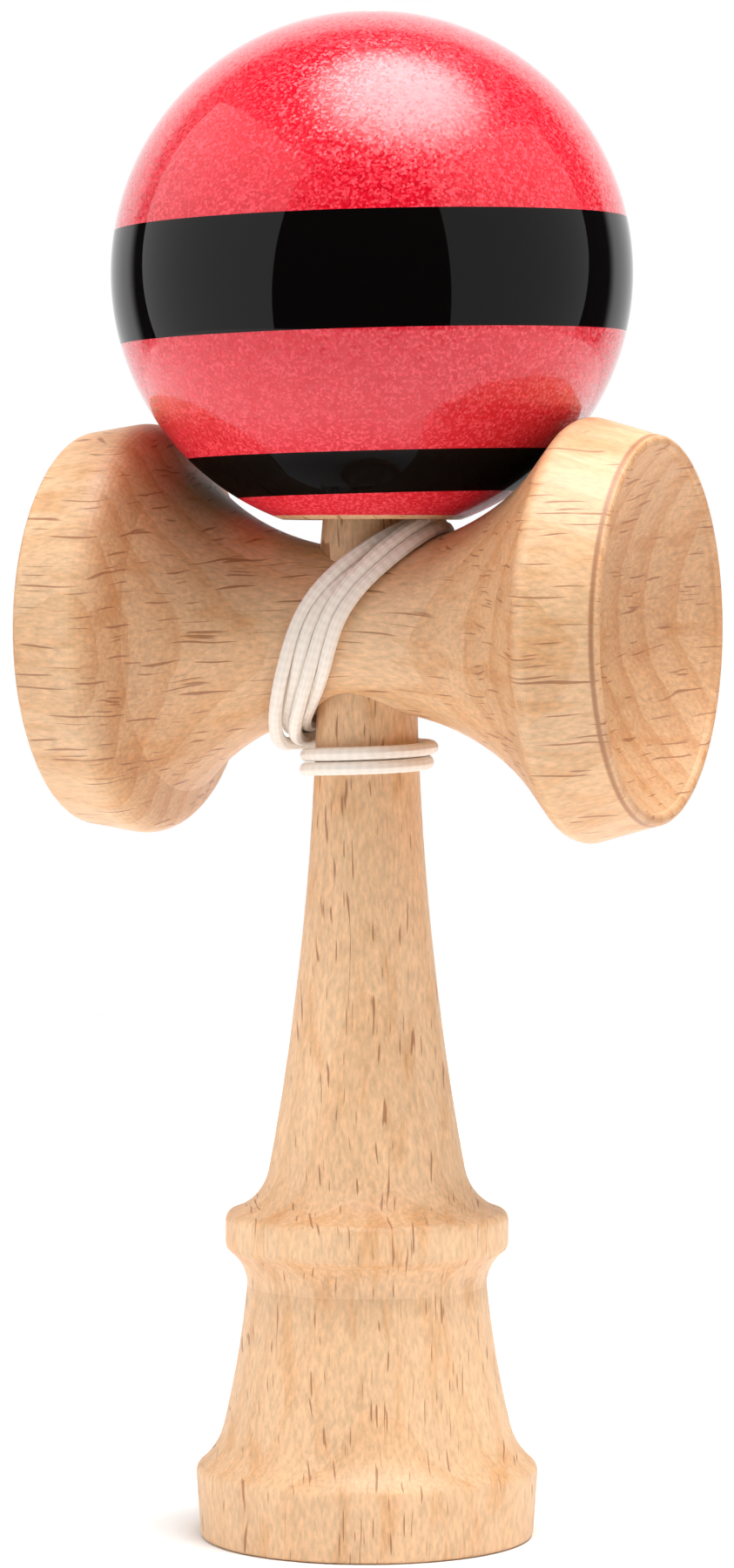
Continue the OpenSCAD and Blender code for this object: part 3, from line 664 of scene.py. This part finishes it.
def dress(node_name, material):
    """Gives a CAD node one material."""
    mesh = frame["nodes"][node_name].data
    mesh.materials.clear()
    mesh.materials.append(material)


def yarn():
    """The string's material, made once."""
    made = bpy.data.materials.get("polyester yarn, braided")
    return made or braided_yarn(bpy.context.scene.kendama.string)


# Pieces: how far the rings are turned in the two turnings, and the scorched line's radius and distance

HANDLE_TURN, CROSS_TURN = math.radians(28), math.radians(8)
SCORCH = (22.1 * MM, 35.3 * MM)


class KENDAMA_OT_handle(bpy.types.Operator):
    """Dress the turned handle in beech with its grain upright"""
    bl_idname = "kendama.handle"
    bl_label = "Handle"

    def execute(self, context):
        wood = context.scene.kendama.wood
        dress("ken", beech("beech, turned, handle", wood, "Z", (0, 0, HANDLE_TURN)))
        return {"FINISHED"}


class KENDAMA_OT_crosspiece(bpy.types.Operator):
    """Dress the crosspiece in beech with its grain from cup to cup"""
    bl_idname = "kendama.crosspiece"
    bl_label = "Crosspiece"

    def execute(self, context):
        wood = context.scene.kendama.wood
        dress("sarado", beech("beech, turned, crosspiece", wood, "X", (CROSS_TURN, 0, 0), scorch=SCORCH))
        return {"FINISHED"}


class KENDAMA_OT_ball(bpy.types.Operator):
    """Make the drilled ball with its two bands"""
    bl_idname = "kendama.ball"
    bl_label = "Ball"

    def execute(self, context):
        """The ball is a closed outline turned about its axis. The rows on the outside tip by the bands'
        slant, less and less towards the two holes."""
        settings = context.scene.kendama
        ball = settings.ball
        outline, skin, latitude = self.turned_outline(ball)
        angle = np.linspace(0, 2 * np.pi, BALL_SIDES, endpoint=False)
        points = np.stack([outline[:, :1] * np.cos(angle), outline[:, :1] * np.sin(angle),
                           np.repeat(outline[:, 1:], BALL_SIDES, 1)], -1)
        share = np.zeros(len(outline))
        share[:len(latitude)] = ease((TIP_END - np.abs(latitude)) / TIP_FADE)
        points = self.tip_rows(points, ball.tilt * share, settings.stage.azimuth)
        piece = grid_object("ball", points + BALL_CENTRE, wrap_rows=True)
        for material in (pearl_lacquer(ball), black_enamel(ball),
                         beech("beech, drilled, ball", settings.wood, "Z", (0, 0, 0))):
            piece.data.materials.append(material)
        piece.data.polygons.foreach_set("material_index", np.repeat(skin, BALL_SIDES).astype(np.int32))
        piece.data.set_sharp_from_angle(angle=SHARP_ANGLE)
        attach(piece, "ball")
        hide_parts("tama")
        return {"FINISHED"}

    @staticmethod
    def turned_outline(ball):
        """The ball's outline as radius and height, the material of each row, and the outside's latitudes.

        It goes up the round outside from the hole's bevel to the countersink, then down the countersink, the
        string hole, the drill point and the hole's wall. The bevel slopes at 45 degrees, so radius plus
        height is the same all along it, up to the lip where it meets the outside.
        """
        mouth = -math.sqrt(BALL_RADIUS ** 2 - HOLE_RADIUS ** 2)
        apex, slope = mouth + HOLE_DEPTH, 1 / math.tan(DRILL_HALF_ANGLE)
        bevel_sum = HOLE_RADIUS + mouth + HOLE_BEVEL
        lip = (bevel_sum - math.sqrt(2 * BALL_RADIUS ** 2 - bevel_sum ** 2)) / 2
        heights = (lip, ball.paint_end, ball.narrow_bottom, ball.narrow_top, ball.wide_bottom, ball.wide_top)
        stops = [math.asin(z / BALL_RADIUS) for z in heights] + [math.acos(SINK_RADIUS / BALL_RADIUS)]
        counts = [max(2, int(math.degrees(end - start))) for start, end in zip(stops, stops[1:])]
        latitude = np.concatenate([np.linspace(start, end, count, endpoint=False)
                                   for start, end, count in zip(stops, stops[1:], counts)] + [stops[-1:]])
        outside = BALL_RADIUS * np.stack([np.cos(latitude), np.sin(latitude)], -1)
        corners = np.array([outside[-1], (STRING_HOLE_RADIUS, BALL_RADIUS - SINK_DEPTH),
                            (STRING_HOLE_RADIUS, apex - slope * STRING_HOLE_RADIUS),
                            (HOLE_RADIUS, apex - slope * HOLE_RADIUS), (HOLE_RADIUS, mouth + HOLE_BEVEL)])
        row_counts = (SINK_ROWS, STRING_HOLE_ROWS, DRILL_ROWS, WALL_ROWS)
        inside = np.vstack([start + (end - start) * np.linspace(0, 1, count + 1)[1:, None]
                            for start, end, count in zip(corners, corners[1:], row_counts)])
        skin = np.concatenate([
            np.repeat((BARE, LACQUER, ENAMEL, LACQUER, ENAMEL, LACQUER), counts),
            np.full(SINK_ROWS, LACQUER), np.full(len(inside) - SINK_ROWS + 1, BARE)])
        return np.vstack([outside, inside]), skin, latitude

    @staticmethod
    def tip_rows(points, tilt, azimuth):
        """Rows of points, each turned by its own tilt about the line of sight: the right side rises."""
        right = np.array((math.cos(azimuth), math.sin(azimuth)))
        tilt = tilt[:, None]
        across, height = points[..., :2] @ right, points[..., 2]
        turned = across * np.cos(tilt) - height * np.sin(tilt)
        raised = height * np.cos(tilt) + across * np.sin(tilt)
        level = points[..., :2] + (turned - across)[..., None] * right
        return np.concatenate([level, raised[..., None]], -1)


class KENDAMA_OT_bead(bpy.types.Operator):
    """Dress the bead on the string's end in beech"""
    bl_idname = "kendama.bead"
    bl_label = "Bead"

    def execute(self, context):
        wood = context.scene.kendama.wood
        dress("bead", beech("beech, turned, bead", wood, "Z", (0, 0, 0)))
        return {"FINISHED"}


class KENDAMA_OT_winding(bpy.types.Operator):
    """Make the wound string and its knot in the handle"""
    bl_idname = "kendama.winding"
    bl_label = "Wound string"

    def execute(self, context):
        string = context.scene.kendama.string
        knot = tied_knot("anchor_tie", ANCHOR_KNOT_MIDDLE, "Y", ANCHOR_KNOT_WIDTH, ANCHOR_KNOT_HEIGHT, string)
        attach(knot, "handle")
        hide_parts("anchor_knot")
        piece, path, length = braid_tube("winding", winding_route(), string)
        piece.data.materials.append(yarn())
        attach(piece, "handle")
        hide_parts("string_winding")
        return {"FINISHED"}


class KENDAMA_OT_lead(bpy.types.Operator):
    """Make the free string over the back of the ball and its knot under the bead"""
    bl_idname = "kendama.lead"
    bl_label = "Free string"

    def execute(self, context):
        string = context.scene.kendama.string
        middle = (BALL_CENTRE[0], 0, BEAD_KNOT_TOP - BEAD_KNOT_HEIGHT / 2)
        knot = tied_knot("bead_tie", middle, "Z", BEAD_KNOT_WIDTH, BEAD_KNOT_HEIGHT, string)
        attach(knot, "string_end")
        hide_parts("bead_knot")
        piece, path, length = braid_tube("lead", lead_route(), string)
        piece.data.materials.append(yarn())
        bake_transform(piece)
        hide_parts("string_lead")
        return {"FINISHED"}


def tied_knot(name, middle, along, width, height, string):
    """A knot pulled tight: a tube along a closed three-lobed knot, whose line is (sin t + 2 sin 2t,
    cos t - 2 cos 2t, -sin 3t), scaled to a width and a height. Pulling makes the string a tenth thinner."""
    t = np.linspace(0, 2 * np.pi, KNOT_POINTS, endpoint=False)
    radius = 0.9 * string.diameter / 2
    flat = (width / 2 - radius) / 3
    line = np.stack([flat * (np.sin(t) + 2 * np.sin(2 * t)), flat * (np.cos(t) - 2 * np.cos(2 * t)),
                     -(height / 2 - radius) * np.sin(3 * t)], -1)
    if along == "Y":
        line = np.stack([line[:, 0], line[:, 2], -line[:, 1]], -1)
    tangent = unit(np.roll(line, -1, 0) - np.roll(line, 1, 0))
    side = unit(np.cross(tangent, line + (0, 0, 1e-6)))
    _, rim = round_rims(side, np.cross(tangent, side), KNOT_SIDES)
    piece = grid_object(name, line[:, None] + radius * rim + np.array(middle), wrap_rows=True,
                        map_step=KNOT_MAP_STEP)
    piece.data.materials.append(yarn())
    return piece


# Studio: the panels stand round the ball, and the overhead one leans to the right and to the camera. Sizes
# are in metres, a soft panel's edge and core are shares of its side, and a backdrop's fade and edge are
# cosines of the angle to the line of sight.

PANEL_DISTANCE, PANEL_EDGE, PANEL_CORE = 1.0, 0.5, 0.16
TOP_SIDE, TOP_RIGHT, TOP_NEAR = 1.32, 0.15, 0.16
FLOOR_RADIUS, FLOOR_BACK, FLOOR_DROP = 0.5, 0.2, 0.05 * MM
FLOOR_ROWS, FLOOR_SIDES = 12, 96
SHADOW_START, SHADOW_END, FLOOR_LIGHT = 0.019, 0.03, 0.28
BACKDROP_FADE, BACKDROP_EDGE, MIRRORED_ROOM = 0.6, 0.72, 0.03


class KENDAMA_OT_stage(bpy.types.Operator):
    """Make the floor, the lights, the white background and the camera"""
    bl_idname = "kendama.stage"
    bl_label = "Stage"

    def execute(self, context):
        scene, stage = context.scene, context.scene.kendama.stage
        scene.view_settings.view_transform = "Standard"
        to_camera = np.array((math.sin(stage.azimuth), -math.cos(stage.azimuth), 0))
        to_right = np.array((math.cos(stage.azimuth), math.sin(stage.azimuth), 0))
        self.make_camera(scene, stage, to_camera)
        self.make_floor(-to_camera)
        self.make_world(scene, stage, -to_camera)
        for name, turn, lift, width, height, strength in (
                ("left panel", -81, 12, 1.6, 1.75, stage.left_light),
                ("right panel", 71, 10, 1.55, 1.65, stage.right_light)):
            a, e = math.radians(turn), math.radians(lift)
            way = math.cos(e) * (math.cos(a) * to_camera + math.sin(a) * to_right) + (0, 0, math.sin(e))
            self.make_panel(scene, name, way, width, height, strength)
        over = unit(np.array((0, 0, 1)) + TOP_RIGHT * to_right + TOP_NEAR * to_camera)
        self.make_panel(scene, "top panel", over, TOP_SIDE, TOP_SIDE, stage.top_light, soft=True)
        return {"FINISHED"}

    @staticmethod
    def make_camera(scene, stage, to_camera):
        """A camera at a distance and height, looking level or a little down towards the handle."""
        camera = bpy.data.objects.new("camera", bpy.data.cameras.new("camera"))
        scene.collection.objects.link(camera)
        camera.data.sensor_width = 36
        camera.data.lens = stage.lens
        camera.data.clip_start = 0.01
        camera.location = stage.distance * to_camera + (0, 0, stage.height)
        way = -math.cos(stage.pitch) * to_camera + (0, 0, math.sin(stage.pitch))
        camera.rotation_euler = Vector(way).to_track_quat("-Z", "Y").to_euler()
        scene.camera = camera

    @staticmethod
    def make_panel(scene, name, way, width, height, strength, soft=False):
        """A panel on one way from the ball, whose face has a set brightness, so its power follows its area.

        A soft one fades from its middle to nothing at its edge, as cloth before a lamp does.
        """
        lamp = bpy.data.lights.new(name, "AREA")
        lamp.shape = "RECTANGLE"
        lamp.size, lamp.size_y = width, height
        lamp.energy = strength * math.pi * width * height
        if soft:
            lamp.use_nodes = True
            tree = lamp.node_tree
            tree.nodes.clear()
            spot = add_node(tree, "NewGeometry").outputs["Parametric"]
            off = add_node(tree, "VectorMath", {0: spot, 1: (0.5, 0.5, 0)}, operation="DISTANCE")
            fade = add_node(tree, "MapRange",
                            {"Value": off.outputs["Value"], "From Min": PANEL_EDGE, "From Max": PANEL_CORE},
                            interpolation_type="SMOOTHSTEP")
            face = add_node(tree, "Emission", {"Strength": fade})
            add_node(tree, "OutputLight", {0: face})
        panel = bpy.data.objects.new(name, lamp)
        panel.location = BALL_CENTRE + PANEL_DISTANCE * way
        panel.rotation_euler = Vector(-way).to_track_quat("-Z", "Y").to_euler()
        panel.visible_camera = False
        scene.collection.objects.link(panel)

    @staticmethod
    def make_floor(back):
        """A round white table, more of it behind than before the object. It is a flat disc of rings, whose
        own light lifts it to white away from the object, and leaves the shadow by the foot."""
        radius = (np.linspace(0.02, 1, FLOOR_ROWS) * FLOOR_RADIUS)[:, None]
        angle = np.linspace(0, 2 * np.pi, FLOOR_SIDES, endpoint=False)
        points = np.stack([radius * np.cos(angle), radius * np.sin(angle),
                           np.full((FLOOR_ROWS, FLOOR_SIDES), -FLOOR_DROP)], -1) + FLOOR_BACK * back
        floor = grid_object("floor", points)
        material, tree = new_material("white board, matt")
        path = add_node(tree, "LightPath").outputs
        seen = add_node(tree, "Math", {0: path["Is Camera Ray"], 1: path["Is Glossy Ray"]})
        shown = add_node(tree, "Math", {0: seen, 1: path["Is Transmission Ray"]}, use_clamp=True)
        place = add_node(tree, "TexCoord").outputs["Object"]
        away = add_node(tree, "VectorMath", {0: place}, operation="LENGTH")
        lift = add_node(tree, "MapRange",
                        {"Value": away.outputs["Value"], "From Min": SHADOW_START, "From Max": SHADOW_END,
                         "To Max": FLOOR_LIGHT})
        strength = add_node(tree, "Math", {0: shown, 1: lift}, operation="MULTIPLY")
        shader = add_node(tree, "BsdfPrincipled",
                          {"Base Color": (0.9, 0.9, 0.9, 1), "Roughness": 0.9, "Specular IOR Level": 0.0,
                           "Emission Color": (1, 1, 1, 1), "Emission Strength": strength})
        add_node(tree, "OutputMaterial", {"Surface": shader})
        floor.data.materials.append(material)

    @staticmethod
    def make_world(scene, stage, back):
        """A white background for the camera. Gloss and glass show it too, behind the object, where the
        backdrop stands, and the rest of the room is dim. The room's own light fills the shadows."""
        world = bpy.data.worlds.new("studio")
        scene.world = world
        world.use_nodes = True
        tree = world.node_tree
        tree.nodes.clear()
        path = add_node(tree, "LightPath").outputs
        way = add_node(tree, "TexCoord").outputs["Generated"]
        facing = add_node(tree, "VectorMath", {0: way, 1: tuple(back)}, operation="DOT_PRODUCT")
        behind = add_node(tree, "MapRange",
                          {"Value": facing.outputs["Value"], "From Min": BACKDROP_FADE,
                           "From Max": BACKDROP_EDGE}, interpolation_type="SMOOTHSTEP")
        sharp = add_node(tree, "Math", {0: path["Is Glossy Ray"], 1: path["Is Transmission Ray"]},
                         use_clamp=True)
        mirrored = add_node(tree, "Math", {0: sharp, 1: behind}, operation="MULTIPLY")
        white = add_node(tree, "Math", {0: path["Is Camera Ray"], 1: mirrored}, use_clamp=True)
        dim = add_node(tree, "MapRange", {"Value": sharp, "To Min": stage.fill, "To Max": MIRRORED_ROOM})
        strength = add_node(tree, "Mix", {0: white, 2: dim, 3: 1.0}, data_type="FLOAT")
        shader = add_node(tree, "Background", {"Color": (1, 1, 1, 1), "Strength": strength})
        add_node(tree, "OutputWorld", {"Surface": shader})


class KENDAMA_PT_sidebar(bpy.types.Panel):
    """Lists the pieces and their settings"""
    bl_idname = "KENDAMA_PT_sidebar"
    bl_label = "Kendama"
    bl_space_type = "VIEW_3D"
    bl_region_type = "UI"
    bl_category = "Kendama"

    def draw(self, context):
        settings = context.scene.kendama
        for operator in OPERATORS:
            self.layout.operator(operator.bl_idname)
        for group in (settings.wood, settings.ball, settings.string, settings.stage):
            box = self.layout.box()
            for name in group.bl_rna.properties.keys():
                if name not in {"rna_type", "name"}:
                    box.prop(group, name)


OPERATORS = (KENDAMA_OT_stage, KENDAMA_OT_winding, KENDAMA_OT_lead, KENDAMA_OT_ball, KENDAMA_OT_bead,
             KENDAMA_OT_handle, KENDAMA_OT_crosspiece)
CLASSES = (KendamaWoodSettings, KendamaBallSettings, KendamaStringSettings, KendamaStageSettings,
           KendamaSettings, *OPERATORS, KENDAMA_PT_sidebar)


def register():
    """Adds the classes and the settings to Blender."""
    for cls in CLASSES:
        bpy.utils.register_class(cls)
    bpy.types.Scene.kendama = PointerProperty(type=KendamaSettings)


def unregister():
    """Takes them out again."""
    del bpy.types.Scene.kendama
    for cls in reversed(CLASSES):
        bpy.utils.unregister_class(cls)


def main():
    """Makes the camera and the strings first, then the ball and the wood."""
    register()
    bpy.ops.kendama.stage()
    bpy.ops.kendama.winding()
    bpy.ops.kendama.lead()
    bpy.ops.kendama.ball()
    bpy.ops.kendama.bead()
    bpy.ops.kendama.handle()
    bpy.ops.kendama.crosspiece()


if __name__ == "__main__":
    main()
